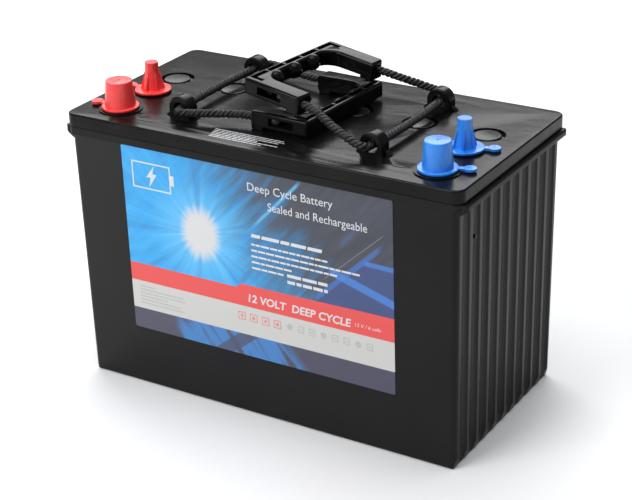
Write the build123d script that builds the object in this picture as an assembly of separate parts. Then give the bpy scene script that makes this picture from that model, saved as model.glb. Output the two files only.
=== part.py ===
from build123d import *
import os
from math import atan, degrees, pi, radians, tan

# A sealed absorbed-glass-mat deep cycle battery with post and stud terminals, snap-on terminal
# caps and two rope carry handles that lie folded, one on top of the other, on the lid.
# Frame: +X along the length to the negative end, -Y out of the labelled front, +Z up.
# The origin is the centre of the base. Millimetres.

# Case
BASE_HALF_X, BASE_HALF_Y = 157.2, 78.6      # rib crests at the base
TOP_HALF_X, TOP_HALF_Y = 158.5, 80.8        # the walls lean out to these below the collar
CORNER_R = 4.5
COLLAR_Z0, COLLAR_Z1, RIM_Z = 196.8, 202.4, 203.3   # thicker band, and the rim the lid is welded to
COLLAR_HALF_X, COLLAR_HALF_Y = 160.6, 81.9
FLANGE_HALF_X = 165.0                       # hold-down ledge at both ends
FLANGE_TOP_Z, FLANGE_FACE_Z, FLANGE_ROOT_Z = 202.4, 198.2, 193.2
FLUTES, FLUTE_PITCH, FLUTE_WIDTH, FLUTE_DEPTH, FLUTE_TOP_DEPTH = 10, 15.0, 12.4, 2.6, 1.8
NUB_Y, NUB_Z, NUB_R = -52.5, 169.0, 1.4     # moulded nub in the second flute of the negative end
END_BEVEL_H, END_BEVEL_D = 9.0, 2.7
SIDE_BEVEL = 1.5
CELLS, CELL_PITCH, PARTITION_T = 6, 50.7, 2.2
CELL_HALF_Y, CELL_FLOOR_Z = 75.5, 4.0

# Lid
LID_HALF_X, LID_HALF_Y, LID_TOP_Z, LID_CORNER_R = 162.0, 83.0, 213.0, 8.0
LID_WALL, LID_CEILING_Z = 4.0, 208.0
VENT_X = (-131.5, -79.0, -26.3, 26.3, 79.0, 131.5)
VENT_Y, VENT_RING_R, VENT_DISC_R, VENT_LEDGE_Z = 17.0, 13.2, 10.1, 210.6
WELL_R, WELL_WALL, WELL_FLOOR_Z, NOZZLE_R, NOZZLE_TOP_Z = 9.4, 2.4, 200.5, 5.0, 207.0

# Terminals
TERMINAL_X, POST_Y, STUD_Y = 130.5, -57.0, -15.6
POST_X = {"positive": -129.8, "negative": 131.6}
POST_RING_R, POST_RING_Z = 16.3, 214.0
POST_TOP_Z, POST_TAPER = 230.0, 1 / 9
POST_TOP_R = {"positive": 8.75, "negative": 7.95}
STUD_R, STUD_TOP_Z, STUD_SEAT_R, STUD_SEAT_Z = 4.0, 228.0, 8.0, 213.6
CAP_BASE_R = {"positive": 11.6, "negative": 10.8}
CAP_TOP_R = {"positive": 9.7, "negative": 9.3}
BUSHING_R = 11.0
PAD_Z0, PAD_Z1 = 203.6, 207.9

# Plate groups
STRAP_Y, STRAP_Z0, STRAP_Z1 = 50.0, 176.0, 184.0
PLATE_Z0, PLATE_Z1, PLATE_HALF_Y = 6.0, 168.0, 73.0
POSITIVE_T, NEGATIVE_T, MAT_T, MAT_GAP = 3.0, 2.4, 0.9, 0.05
POSITIVES = 6
WELD_R, WELD_Z = 6.0, 191.0

# Rope handles
ROPE_R, KNOT_R = 3.1, 4.3
LUG_X, LUG_Y, LUG_T, LUG_R = 79.0, 49.0, 10.0, 9.3
EYE_R, EYE_Z = 5.0, 220.0
GRIP_X, GRIP_Y, GRIP_T = 49.0, 100.0, 12.2
ARM_W, BAR_W, EDGE_R = 14.0, 8.5, 2.0
SWELL_Y, SWELL_X, SWELL_R = (-23.5, -2.5, 18.5), 7.2, 6.6   # finger swells, SWELL_X from the bar's outside
FOOT_X, FOOT_T = 13.5, 1.2                  # feet under the arms' ends, from FOOT_X outwards
ROPE_ARM_Y = 43.5                           # rope axis inside each arm, from the grip's middle
UPPER_GRIP = Pos(2.6, 0, 241.2) * Rot(0, 0, -6.65) * Rot(0, 6.9, 0)
LOWER_GRIP = Pos(5.2, 0, 220.9) * Rot(0, 0, 177.35)

# Rope routes, knot to knot. Each rope leaves one arm of its grip, turns round the front lug,
# crosses the lid, turns round the back lug and goes back into the other arm.
UPPER_ROUTE = [(3.4, -43.9, 240.5), (29.4, -46.9, 237.2), (50.0, -55.5, 229.5), (73.4, -61.4, 221.5),
               (79.0, -57.4, 220.0), (81.4, -20.0, 219.8), (81.6, 20.0, 219.8), (79.0, 57.2, 220.0),
               (73.5, 60.6, 221.4), (60.0, 53.0, 227.5), (41.4, 39.3, 236.9), (13.5, 42.5, 240.5)]
LOWER_ROUTE = [(-2.8, -43.2, 220.9), (-28.8, -42.0, 220.7), (-52.0, -51.0, 220.2), (-73.6, -61.2, 220.2),
               (-79.0, -57.4, 220.0), (-81.6, -20.0, 219.8), (-81.4, 20.0, 219.8), (-79.0, 57.4, 220.0),
               (-73.6, 61.2, 220.2), (-50.0, 53.0, 220.2), (-24.7, 44.9, 220.7), (1.2, 43.7, 220.9)]


def slab(half_x, half_y, z0, z1, radius):
    """Upright rounded rectangle from z0 to z1."""
    return Pos(0, 0, z0) * extrude(RectangleRounded(2 * half_x, 2 * half_y, radius), z1 - z0)


def block(x0, x1, y0, y1, z0, z1):
    """Box between two corners."""
    middle = Pos((x0 + x1) / 2, (y0 + y1) / 2, (z0 + z1) / 2)
    return middle * Box(x1 - x0, y1 - y0, z1 - z0)


def disc(x, y, z0, z1, radius, top_radius=None):
    """Upright cylinder, or cone when a top radius is given."""
    middle = Pos(x, y, (z0 + z1) / 2)
    if top_radius is None:
        return middle * Cylinder(radius, z1 - z0)
    return middle * Cone(radius, top_radius, z1 - z0)


def end_prism(points, half_y):
    """Prism along Y from an outline in X and Z."""
    face = make_face(Polyline(*[(x, 0, z) for x, z in points], close=True))
    return extrude(face, half_y, both=True)


def side_prism(points, half_x):
    """Prism along X from an outline in Y and Z."""
    face = make_face(Polyline(*[(0, y, z) for y, z in points], close=True))
    return extrude(face, half_x, both=True)


def mirrored(shape, plane):
    """The shape together with its mirror image."""
    return shape + mirror(shape, plane)


def only_solid(shape):
    """The single solid of a one-piece result."""
    solids = shape.solids()
    return solids[0] if len(solids) == 1 else shape


# Case ------------------------------------------------------------------------------------------

def cell_x(index):
    return (index - (CELLS - 1) / 2) * CELL_PITCH


def case_walls():
    """Drafted outer block with its welding collar and the two hold-down ledges."""
    base = RectangleRounded(2 * BASE_HALF_X, 2 * BASE_HALF_Y, CORNER_R)
    top = Pos(0, 0, COLLAR_Z0) * RectangleRounded(2 * TOP_HALF_X, 2 * TOP_HALF_Y, CORNER_R)
    collar = slab(COLLAR_HALF_X, COLLAR_HALF_Y, COLLAR_Z0, COLLAR_Z1, CORNER_R)
    collar += slab(TOP_HALF_X, TOP_HALF_Y - 0.6, COLLAR_Z1 - 1, RIM_Z, CORNER_R)
    ledge = end_prism([(TOP_HALF_X - 2, FLANGE_TOP_Z), (FLANGE_HALF_X - 1, FLANGE_TOP_Z),
                       (FLANGE_HALF_X, FLANGE_TOP_Z - 1), (FLANGE_HALF_X, FLANGE_FACE_Z),
                       (TOP_HALF_X - 0.5, FLANGE_ROOT_Z), (TOP_HALF_X - 2, FLANGE_ROOT_Z)],
                      TOP_HALF_Y - 1.5)
    ledge = fillet(ledge.edges().filter_by(Axis.Z).sort_by(Axis.X)[-2:], 3)
    return loft([base, top]) + collar + mirrored(ledge, Plane.YZ)


def flutes():
    """Concave grooves down both ends, shallower at the top; the ribs left between are the crests."""
    radius = FLUTE_WIDTH ** 2 / (8 * FLUTE_DEPTH) + FLUTE_DEPTH / 2
    run_out = TOP_HALF_X - BASE_HALF_X + FLUTE_DEPTH - FLUTE_TOP_DEPTH
    lean = degrees(atan(run_out / COLLAR_Z0))
    height = FLANGE_ROOT_Z + 12
    cuts = Part()
    for index in range(FLUTES):
        y = (index - (FLUTES - 1) / 2) * FLUTE_PITCH
        foot = Location((BASE_HALF_X + radius - FLUTE_DEPTH, y, 0), (0, lean, 0))
        cuts += foot * Pos(0, 0, height / 2 - 12) * Cylinder(radius, height)
    return mirrored(cuts, Plane.YZ)


def base_bevels():
    """Wedges taken off the bottom edges: steep at the fluted ends, slight along the sides."""
    end = end_prism([(BASE_HALF_X - END_BEVEL_D, -1), (BASE_HALF_X - END_BEVEL_D, 0),
                     (BASE_HALF_X + 0.3, END_BEVEL_H), (BASE_HALF_X + 9, END_BEVEL_H),
                     (BASE_HALF_X + 9, -1)], BASE_HALF_Y + 5)
    side = side_prism([(BASE_HALF_Y - SIDE_BEVEL, -1), (BASE_HALF_Y - SIDE_BEVEL, 0),
                       (BASE_HALF_Y + 0.2, SIDE_BEVEL), (BASE_HALF_Y + 5, SIDE_BEVEL),
                       (BASE_HALF_Y + 5, -1)], BASE_HALF_X + 5)
    return mirrored(end, Plane.YZ) + mirrored(side, Plane.XZ)


def make_case():
    body = case_walls() - flutes() - base_bevels()
    body += Pos(TOP_HALF_X - 1.6, NUB_Y, NUB_Z) * Rot(0, 90, 0) * Cylinder(NUB_R, 2.4)
    for index in range(CELLS):
        cavity = slab((CELL_PITCH - PARTITION_T) / 2, CELL_HALF_Y, CELL_FLOOR_Z, RIM_Z + 1, 3)
        body -= Pos(cell_x(index), 0, 0) * cavity
    for index in range(CELLS - 1):
        body -= weld_nugget(index, PARTITION_T + 1)
    return body


# Lid -------------------------------------------------------------------------------------------

def vent_well(x):
    """Boss under the lid that holds one pressure valve on its nozzle, as (added, removed)."""
    added = disc(x, VENT_Y, WELL_FLOOR_Z - 2, LID_CEILING_Z + 1, WELL_R + WELL_WALL)
    removed = disc(x, VENT_Y, VENT_LEDGE_Z, LID_TOP_Z + 1, VENT_RING_R)
    removed += disc(x, VENT_Y, WELL_FLOOR_Z, VENT_LEDGE_Z + 0.1, WELL_R)
    nozzle = disc(x, VENT_Y, WELL_FLOOR_Z, NOZZLE_TOP_Z, NOZZLE_R)
    return added, removed - nozzle + disc(x, VENT_Y, WELL_FLOOR_Z - 3, NOZZLE_TOP_Z + 1, 2.2)


def rope_lug():
    """Arch on the lid with an eye along Y and a small gusset at each foot."""
    arch = Pos(0, 0, EYE_Z) * Rot(90, 0, 0) * Cylinder(LUG_R, LUG_T)
    legs = block(-LUG_R, LUG_R, -LUG_T / 2, LUG_T / 2, LID_TOP_Z - 1, EYE_Z)
    arch = arch + legs
    rim = arch.faces().filter_by(Axis.Y).edges().filter_by(GeomType.CIRCLE)
    arch = fillet(rim, 1.2)
    gusset = end_prism([(LUG_R - 1, LID_TOP_Z - 1), (LUG_R - 1, LID_TOP_Z + 4.2),
                        (LUG_R + 4, LID_TOP_Z + 0.4), (LUG_R + 4, LID_TOP_Z - 1)], 2.2)
    eye = Pos(0, 0, EYE_Z) * Rot(90, 0, 0) * Cylinder(EYE_R, LUG_T + 2)
    return arch + mirrored(gusset, Plane.YZ) - eye


def polarity_marks():
    """Raised plus and minus signs beside the posts."""
    plus = block(-4, 4, -1.2, 1.2, LID_TOP_Z - 0.5, LID_TOP_Z + 0.3)
    plus += block(-1.2, 1.2, -4, 4, LID_TOP_Z - 0.5, LID_TOP_Z + 0.3)
    minus = block(-4, 4, -1.2, 1.2, LID_TOP_Z - 0.5, LID_TOP_Z + 0.3)
    return Pos(-105, -62, 0) * plus + Pos(105, -62, 0) * minus


def make_lid():
    shell = slab(LID_HALF_X, LID_HALF_Y, RIM_Z, LID_TOP_Z, LID_CORNER_R)
    shell = fillet(shell.faces().sort_by(Axis.Z)[-1].edges(), 1.4)
    hollow = slab(LID_HALF_X - LID_WALL, LID_HALF_Y - LID_WALL, RIM_Z - 1, LID_CEILING_Z, 5)
    for index in range(CELLS - 1):
        x = (cell_x(index) + cell_x(index + 1)) / 2
        hollow -= block(x - PARTITION_T / 2, x + PARTITION_T / 2, -90, 90, RIM_Z, LID_CEILING_Z + 1)
    shell -= hollow
    for x in POST_X.values():
        shell += disc(x, POST_Y, LID_TOP_Z - 1, POST_RING_Z, POST_RING_R)
    for x in VENT_X:
        added, removed = vent_well(x)
        shell = shell + added - removed
    for x in POST_X.values():
        shell -= disc(x, POST_Y, LID_CEILING_Z - 2, POST_RING_Z + 1, BUSHING_R + 0.02)
    for x in (-TERMINAL_X, TERMINAL_X):
        shell -= disc(x, STUD_Y, LID_CEILING_Z - 2, LID_TOP_Z + 1, STUD_SEAT_R + 0.02)
    lug = rope_lug()
    for x in (-LUG_X, LUG_X):
        for y in (-LUG_Y, LUG_Y):
            shell += Pos(x, y, 0) * lug
    return shell + polarity_marks()


def make_vent_cover(x):
    """Flat disc pressed into the vent recess, flush with the lid."""
    cover = disc(x, VENT_Y, VENT_LEDGE_Z, LID_TOP_Z - 0.1, VENT_DISC_R)
    return chamfer(cover.faces().sort_by(Axis.Z)[-1].edges(), 0.4)


def make_vent_valve(x):
    """Rubber cap stretched over the nozzle; it lifts off its seat to let gas out."""
    outside = disc(x, VENT_Y, WELL_FLOOR_Z + 1, NOZZLE_TOP_Z + 1.6, NOZZLE_R + 1.8)
    return outside - disc(x, VENT_Y, WELL_FLOOR_Z, NOZZLE_TOP_Z, NOZZLE_R)


def make_front_label():
    """Printed film stuck on the front wall, which leans with the wall's draft."""
    lean = degrees(atan((TOP_HALF_Y - BASE_HALF_Y) / COLLAR_Z0))
    film = extrude(Plane.XZ * RectangleRounded(224, 148, 1.5), 0.25)
    wall_y = BASE_HALF_Y + (TOP_HALF_Y - BASE_HALF_Y) * 122.5 / COLLAR_Z0
    return Location((-1.5, -wall_y - 0.02, 122.5), (lean, 0, 0)) * film


# Terminals -------------------------------------------------------------------------------------

def make_stud(x):
    """Stainless stud whose square head is cast into the terminal pad."""
    head = block(x - 6, x + 6, STUD_Y - 6, STUD_Y + 6, PAD_Z0 + 0.6, PAD_Z0 + 3)
    shank = disc(x, STUD_Y, PAD_Z0 + 1, STUD_TOP_Z, STUD_R)
    shank = chamfer(shank.faces().sort_by(Axis.Z)[-1].edges(), 0.7)
    return shank + head


def make_terminal(x, polarity):
    """Lead casting: riser from the end strap, pad under the lid, tapered post and stud seat."""
    top_r = POST_TOP_R[polarity]
    base_r = top_r + (POST_TOP_Z - POST_RING_Z) * POST_TAPER / 2
    casting = block(x - 13, x + 13, POST_Y - 13, STUD_Y + 11, PAD_Z0, PAD_Z1)
    casting += block(x - 7, x + 7, -STRAP_Y - 7, -STRAP_Y + 7, STRAP_Z1, PAD_Z0)
    casting += disc(POST_X[polarity], POST_Y, PAD_Z1, POST_RING_Z, BUSHING_R)
    post = disc(POST_X[polarity], POST_Y, POST_RING_Z, POST_TOP_Z, base_r, top_r)
    casting += chamfer(post.faces().sort_by(Axis.Z)[-1].edges(), 0.8)
    casting += disc(x, STUD_Y, PAD_Z1, STUD_SEAT_Z, STUD_SEAT_R)
    return casting - make_stud(x)


def cap_tab(reach, angle):
    """Pull tab: a narrow neck with a round end, lying level with the cap's flange."""
    neck = block(8, reach - 4, -2.1, 2.1, 0.3, 1.7)
    end = disc(reach - 4.4, 0, 0.1, 1.9, 4.4)
    return Rot(0, 0, angle) * (neck + end)


def make_post_cap(polarity, tab_angle, reach):
    """Wide tapered cap over the post, with a flange and a pull tab."""
    height, base_r, top_r = 21.0, CAP_BASE_R[polarity], CAP_TOP_R[polarity]
    outside = fillet(disc(0, 0, 0, height, base_r, top_r).edges().sort_by(Axis.Z)[-1], 1.0)
    flange = fillet(disc(0, 0, 0, 1.9, 14.0).edges(), 0.6)
    inside = disc(0, 0, -0.01, height - 1.2, base_r - 0.9, top_r - 0.9)
    dimple = disc(0, 0, height - 0.4, height + 1, 0.9)
    cap = outside + flange + cap_tab(reach, tab_angle) - inside - dimple
    return Pos(POST_X[polarity], POST_Y, POST_RING_Z + 0.15) * cap


def flared(base_r, top_r, waist_r, z0, z1):
    """Solid of revolution whose side sweeps in from a wide foot to a slim top."""
    side = ThreePointArc((base_r, 0, z0), (waist_r, 0, z0 + (z1 - z0) * 0.42), (top_r, 0, z1))
    rest = Polyline((top_r, 0, z1), (0, 0, z1), (0, 0, z0), (base_r, 0, z0))
    return revolve(make_face(side + rest), Axis.Z)


def make_stud_cap(x, tab_angle, reach):
    """Slim flared cap over the stud, stiffened by fins round its foot."""
    height = 22.6
    outside = flared(7.7, 4.9, 6.0, 0.5, height)
    flange = fillet(disc(0, 0, 0, 1.9, 13.8).edges(), 0.6)
    fin = end_prism([(0, 1), (9.0, 1), (9.0, 2.2), (5.9, 14.5), (0, 14.5)], 0.55)
    cap = outside + flange + cap_tab(reach, tab_angle)
    for index in range(6):
        cap += Rot(0, 0, tab_angle + 30 + 60 * index) * fin
    cap = cap - flared(6.9, 4.1, 5.2, -0.01, height - 1) - disc(0, 0, -1, 0.5, 8.3)
    return Pos(x, STUD_Y, STUD_SEAT_Z + 0.15) * cap


# Plate groups ----------------------------------------------------------------------------------

def plate_positions():
    """X centres of the plates in a cell, from one outer negative plate to the other."""
    pitch = (POSITIVE_T + NEGATIVE_T) / 2 + MAT_T + 2 * MAT_GAP
    return [(index - POSITIVES) * pitch for index in range(2 * POSITIVES + 1)]


def positive_side(index):
    """-1 when a cell's positive strap is at the front, +1 when it is at the back."""
    return -1 if index % 2 == 0 else 1


def plate_group(index, positive):
    """All plates of one polarity in a cell, joined by their cast-on strap."""
    side = positive_side(index) * (1 if positive else -1)
    thickness = POSITIVE_T if positive else NEGATIVE_T
    plates = plate_positions()[1::2] if positive else plate_positions()[0::2]
    strap_y0, strap_y1 = sorted((side * (STRAP_Y - 7), side * (STRAP_Y + 7)))
    half = plate_positions()[-1] + NEGATIVE_T / 2
    group = block(-half, half, strap_y0, strap_y1, STRAP_Z0, STRAP_Z1)
    for x in plates:
        group += block(x - thickness / 2, x + thickness / 2, -PLATE_HALF_Y, PLATE_HALF_Y, PLATE_Z0, PLATE_Z1)
        group += block(x - thickness / 2, x + thickness / 2, strap_y0 + 1, strap_y1 - 1, PLATE_Z1, STRAP_Z0)
    neighbour = -1 if positive else 1
    if 0 <= index + neighbour < CELLS:
        inner = CELL_PITCH / 2 - PARTITION_T / 2
        tab_x = sorted((neighbour * (half - 3), neighbour * inner))
        group += block(*tab_x, strap_y0, strap_y1, STRAP_Z1 - 1, WELD_Z + 7)
    return Pos(cell_x(index), 0, 0) * group


def mat_x(gap):
    """X centre of the mat in a gap, which lies off the middle because the two plates differ."""
    centres = plate_positions()
    towards_thin = (NEGATIVE_T - POSITIVE_T) / 4
    return (centres[gap] + centres[gap + 1]) / 2 + (towards_thin if gap % 2 == 0 else -towards_thin)


def make_mat(index):
    """Glass mat folded to and fro between the plates of one cell."""
    gaps = 2 * POSITIVES
    fold_y = PLATE_HALF_Y + 1.6
    mat = Part()
    for gap in range(gaps):
        x = mat_x(gap)
        mat += block(x - MAT_T / 2, x + MAT_T / 2, -fold_y, fold_y, PLATE_Z0 - 1, PLATE_Z1 + 2)
        if gap + 1 < gaps:
            edge = (PLATE_HALF_Y + 0.4, fold_y) if gap % 2 == 0 else (-fold_y, -PLATE_HALF_Y - 0.4)
            mat += block(x - MAT_T / 2, mat_x(gap + 1) + MAT_T / 2, *edge, PLATE_Z0 - 1, PLATE_Z1 + 2)
    return Pos(cell_x(index), 0, 0) * mat


def weld_nugget(index, length):
    """Lead weld through the partition that joins one cell to the next."""
    x = (cell_x(index) + cell_x(index + 1)) / 2
    y = -positive_side(index) * STRAP_Y
    return Pos(x, y, WELD_Z) * Rot(0, 90, 0) * Cylinder(WELD_R, length)


# Handles ---------------------------------------------------------------------------------------

def grip_outline():
    """U shape in plan: outer bar at -X, two arms towards +X, wide curves inside the corners."""
    outer = RectangleRounded(GRIP_X, GRIP_Y, 3)
    mouth = Pos(BAR_W / 2 + 12, 0) * RectangleRounded(GRIP_X - BAR_W + 24, GRIP_Y - 2 * ARM_W, 12)
    return outer - mouth


def grip_pockets():
    """Row of open moulding pockets along the top of the bar, which turns into each arm."""
    pockets = Part()
    count, web, run = 5, 1.8, GRIP_Y - 8
    length = (run - web * (count - 1)) / count
    x0, x1, floor = -GRIP_X / 2 + 2.2, -GRIP_X / 2 + 6.2, -GRIP_T / 2 + 2.5
    for index in range(count):
        y0 = -run / 2 + index * (length + web)
        pockets += block(x0, x1, y0, y0 + length, floor, GRIP_T)
    leg = block(x0, x0 + 11, run / 2 - 3.6, run / 2, GRIP_T / 2 - 1.5, GRIP_T)
    return pockets + mirrored(leg, Plane.XZ)


def arm_cuts():
    """Side window with the melted rope end, and rope bore, of the arm at +Y."""
    window = block(-12, 9, GRIP_Y / 2 - 6.5, GRIP_Y / 2 + 1, -2.7, 2.9)
    chamber = Pos(2.5, ROPE_ARM_Y, 0) * Rot(0, 90, 0) * Cylinder(KNOT_R + 0.15, 13)
    bore = Pos(17, ROPE_ARM_Y, -0.6) * Rot(0, 90, 0) * Cylinder(ROPE_R + 0.9, 18)
    return window + chamber + bore


def grip_foot():
    """Foot under the end of the arm at +Y, which keeps the arm off the lid."""
    y0, y1 = GRIP_Y / 2 - ARM_W, GRIP_Y / 2
    foot = block(FOOT_X, GRIP_X / 2, y0, y1, -GRIP_T / 2 - FOOT_T, 0)
    return fillet(foot.edges().filter_by(Axis.Z), 2.0)


def make_grip():
    """Moulded handle with rounded edges and finger swells on the inner side of its bar."""
    grip = Pos(0, 0, -GRIP_T / 2) * extrude(grip_outline(), GRIP_T)
    flats = grip.faces().filter_by(Axis.Z)
    grip = fillet(flats.edges(), EDGE_R)
    for y in SWELL_Y:
        swell = disc(-GRIP_X / 2 + SWELL_X, y, -GRIP_T / 2, GRIP_T / 2, SWELL_R)
        grip += fillet(swell.edges().filter_by(GeomType.CIRCLE), GRIP_T / 2 - 0.4)
    grip += mirrored(grip_foot(), Plane.XZ)
    return grip - grip_pockets() - mirrored(arm_cuts(), Plane.XZ)


def bend_radii(route):
    """Radius at each inner point: the largest arc that leaves a tenth of the shorter run straight."""
    radii = []
    for before, here, after in zip(route, route[1:], route[2:]):
        run_in, run_out = Vector(*here) - Vector(*before), Vector(*after) - Vector(*here)
        half_turn = radians(run_in.get_angle(run_out) / 2)
        radii.append(0.45 * min(run_in.length, run_out.length) / tan(half_turn))
    return radii


def make_rope(name, route):
    """Rope along its route, with a stopper knot at each end inside the grip's arm."""
    radii = bend_radii(route)
    path = FilletPolyline(*route, radius=radii)
    rope = sweep(Plane(origin=path @ 0, z_dir=path % 0) * Circle(ROPE_R), path=path)
    plain_volume = pi * ROPE_R ** 2 * path.length
    print(name, "length", round(path.length, 1), "volume ratio", round(rope.volume / plain_volume, 4))
    print(name, "bend radii", [round(radius, 1) for radius in radii])
    for end in (0, 1):
        rope += Plane(origin=path @ end, z_dir=path % end) * Sphere(KNOT_R)
    return rope


# Nodes -----------------------------------------------------------------------------------------

def build_nodes():
    nodes = {"case": make_case(), "lid": make_lid(), "front_label": make_front_label()}
    for number, x in enumerate(VENT_X, 1):
        nodes[f"vent_cover_{number}"] = make_vent_cover(x)
        nodes[f"vent_valve_{number}"] = make_vent_valve(x)
    for x, polarity in ((-TERMINAL_X, "positive"), (TERMINAL_X, "negative")):
        nodes[f"{polarity}_terminal"] = make_terminal(x, polarity)
        nodes[f"{polarity}_stud"] = make_stud(x)
    nodes["positive_post_cap"] = make_post_cap("positive", 180, 25.5)
    nodes["positive_stud_cap"] = make_stud_cap(-TERMINAL_X, 180, 24.5)
    nodes["negative_post_cap"] = make_post_cap("negative", 22, 25.9)
    nodes["negative_stud_cap"] = make_stud_cap(TERMINAL_X, 22, 24.8)
    for index in range(CELLS):
        nodes[f"positive_plates_{index + 1}"] = plate_group(index, True)
        nodes[f"negative_plates_{index + 1}"] = plate_group(index, False)
        nodes[f"glass_mat_{index + 1}"] = make_mat(index)
    for index in range(CELLS - 1):
        nodes[f"cell_weld_{index + 1}"] = weld_nugget(index, PARTITION_T)
    nodes["upper_grip"] = UPPER_GRIP * make_grip()
    nodes["lower_grip"] = LOWER_GRIP * make_grip()
    nodes["upper_rope"] = make_rope("upper_rope", UPPER_ROUTE)
    nodes["lower_rope"] = make_rope("lower_rope", LOWER_ROUTE)
    return nodes


os.makedirs("parts", exist_ok=True)
for name, shape in build_nodes().items():
    export_step(only_solid(shape), f"parts/{name}.step")
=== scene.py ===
# %% [markdown]
# # A deep cycle battery with two rope handles
# The CAD model is the fixed frame: every piece below is placed from it, in metres, with the
# origin at the centre of the base, X along the length and the labelled front facing -Y.
# Blender adds what CAD leaves out, which is rounded edges, laid rope, print and finishes.

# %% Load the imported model
import math

import bmesh
import bpy
import numpy as np
from mathutils import Matrix, Vector


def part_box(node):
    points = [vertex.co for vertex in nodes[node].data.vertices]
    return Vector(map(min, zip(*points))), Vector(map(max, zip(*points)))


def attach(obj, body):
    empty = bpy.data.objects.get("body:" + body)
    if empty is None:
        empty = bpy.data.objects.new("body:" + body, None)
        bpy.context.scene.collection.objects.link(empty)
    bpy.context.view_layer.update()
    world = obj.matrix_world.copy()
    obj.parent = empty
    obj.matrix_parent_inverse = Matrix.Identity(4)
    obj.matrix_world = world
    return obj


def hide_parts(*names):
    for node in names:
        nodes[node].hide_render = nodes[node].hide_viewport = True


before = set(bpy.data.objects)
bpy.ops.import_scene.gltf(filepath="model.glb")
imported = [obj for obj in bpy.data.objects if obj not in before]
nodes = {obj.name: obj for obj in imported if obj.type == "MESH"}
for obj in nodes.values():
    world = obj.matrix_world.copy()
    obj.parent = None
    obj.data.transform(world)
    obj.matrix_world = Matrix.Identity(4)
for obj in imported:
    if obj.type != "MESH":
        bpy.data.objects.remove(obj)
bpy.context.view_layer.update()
MM = 0.001

# %% [markdown]
# ## Camera, light and floor
# The camera is set first, because it decides which details matter. It stands in front of the
# right corner, a little above the lid, and is turned slightly about its own line of sight, as
# a hand-held camera is. Its three axes are the columns of its rotation matrix.

# %% Camera
AZIMUTH, ELEVATION, ROLL = math.radians(31.916), math.radians(24.869), math.radians(-1.713)


def camera_axes(azimuth, elevation, roll):
    """Right, up and back axes: back points from the object to the camera, and the other two turn by roll."""
    back = Vector((math.sin(azimuth) * math.cos(elevation), -math.cos(azimuth) * math.cos(elevation),
                   math.sin(elevation)))
    right = Vector((math.cos(azimuth), math.sin(azimuth), 0))
    up = back.cross(right)
    c, s = math.cos(roll), math.sin(roll)
    return c * right + s * up, c * up - s * right, back


camera = bpy.data.objects.new("camera", bpy.data.cameras.new("camera"))
camera.data.sensor_width, camera.data.lens = 36.0, 98.53
camera.data.clip_start, camera.data.clip_end = 0.05, 20.0
camera.matrix_world = (Matrix.Translation((0.6211, -0.998, 0.6482))
                       @ Matrix(camera_axes(AZIMUTH, ELEVATION, ROLL)).transposed().to_4x4())
bpy.context.scene.collection.objects.link(camera)
bpy.context.scene.camera = camera
print("camera at", tuple(round(v, 3) for v in camera.location))

# %% [markdown]
# Product shots on white use large soft panels. Shiny black plastic shows little of its own
# colour: it shows what it reflects. So one tall panel stands behind the battery, where the lid
# mirrors it towards the camera, and two more light the front and the fluted end. The colours
# are kept plain by the Standard view, which doesn't bend them as a film look would.

# %% Light
def panel(name, place, aim, width, height, power, colour=(1, 1, 1)):
    """A rectangular soft light at place that faces aim; its power is in watts."""
    light = bpy.data.lights.new(name, "AREA")
    light.shape, light.size, light.size_y = "RECTANGLE", width, height
    light.energy, light.color = power, colour
    lamp = bpy.data.objects.new(name, light)
    lamp.location = place
    lamp.rotation_euler = (Vector(aim) - Vector(place)).to_track_quat("-Z", "Y").to_euler()
    bpy.context.scene.collection.objects.link(lamp)


panel("back_panel", (-1.2, 1.8, 1.75), (0, 0, 0.15), 3.0, 1.2, 46)
panel("front_panel", (-0.9, -2.0, 1.5), (0, 0, 0.1), 1.4, 1.0, 36)
panel("end_panel", (2.0, 1.3, 0.6), (0, 0, 0.1), 0.10, 1.0, 0.5)
panel("top_panel", (0.1, 0.0, 2.3), (0, 0, 0), 1.8, 1.8, 36)

world = bpy.data.worlds.new("studio")
world.use_nodes = True
world.node_tree.nodes["Background"].inputs["Color"].default_value = (0.93, 0.95, 1.0, 1)
world.node_tree.nodes["Background"].inputs["Strength"].default_value = 0.22
bpy.context.scene.world = world
bpy.context.scene.view_settings.view_transform = "Standard"

# %% [markdown]
# ## Shader arithmetic
# A finish is a network of nodes. Wiring them by hand hides the idea, so two small classes let
# the idea be written as a formula: `Field` is a number that varies over a surface and knows
# plus, minus, times and comparison, and `Finish` is one material with short ways to add nodes.

# %% Fields and finishes
class Field:
    """A varying number in a material. Arithmetic on it adds Math nodes."""

    def __init__(self, finish, socket):
        self.finish, self.socket = finish, socket

    def math(self, operation, *values):
        return self.finish.node("ShaderNodeMath", {"operation": operation}, dict(enumerate(values)))

    def __add__(self, other):
        return self.math("ADD", self, other)

    def __sub__(self, other):
        return self.math("SUBTRACT", self, other)

    def __rsub__(self, other):
        return self.math("SUBTRACT", other, self)

    def __mul__(self, other):
        return self.math("MULTIPLY", self, other)

    def __truediv__(self, other):
        return self.math("DIVIDE", self, other)

    def __pow__(self, other):
        return self.math("POWER", self, other)

    def __gt__(self, other):
        return self.math("GREATER_THAN", self, other)

    def __lt__(self, other):
        return self.math("LESS_THAN", self, other)

    def __abs__(self):
        return self.math("ABSOLUTE", self)

    __radd__, __rmul__ = __add__, __mul__

    def sine(self):
        return self.math("SINE", self)

    def fraction(self):
        return self.math("FRACT", self)

    def below(self, other):
        return self.math("MINIMUM", self, other)

    def above(self, other):
        return self.math("MAXIMUM", self, other)

    def step(self, start, end):
        """0 before start and 1 after end, with a smooth S between; start may be the larger."""
        return self.finish.node("ShaderNodeMapRange", {"interpolation_type": "SMOOTHSTEP"},
                                {"Value": self, "From Min": start, "From Max": end})


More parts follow.
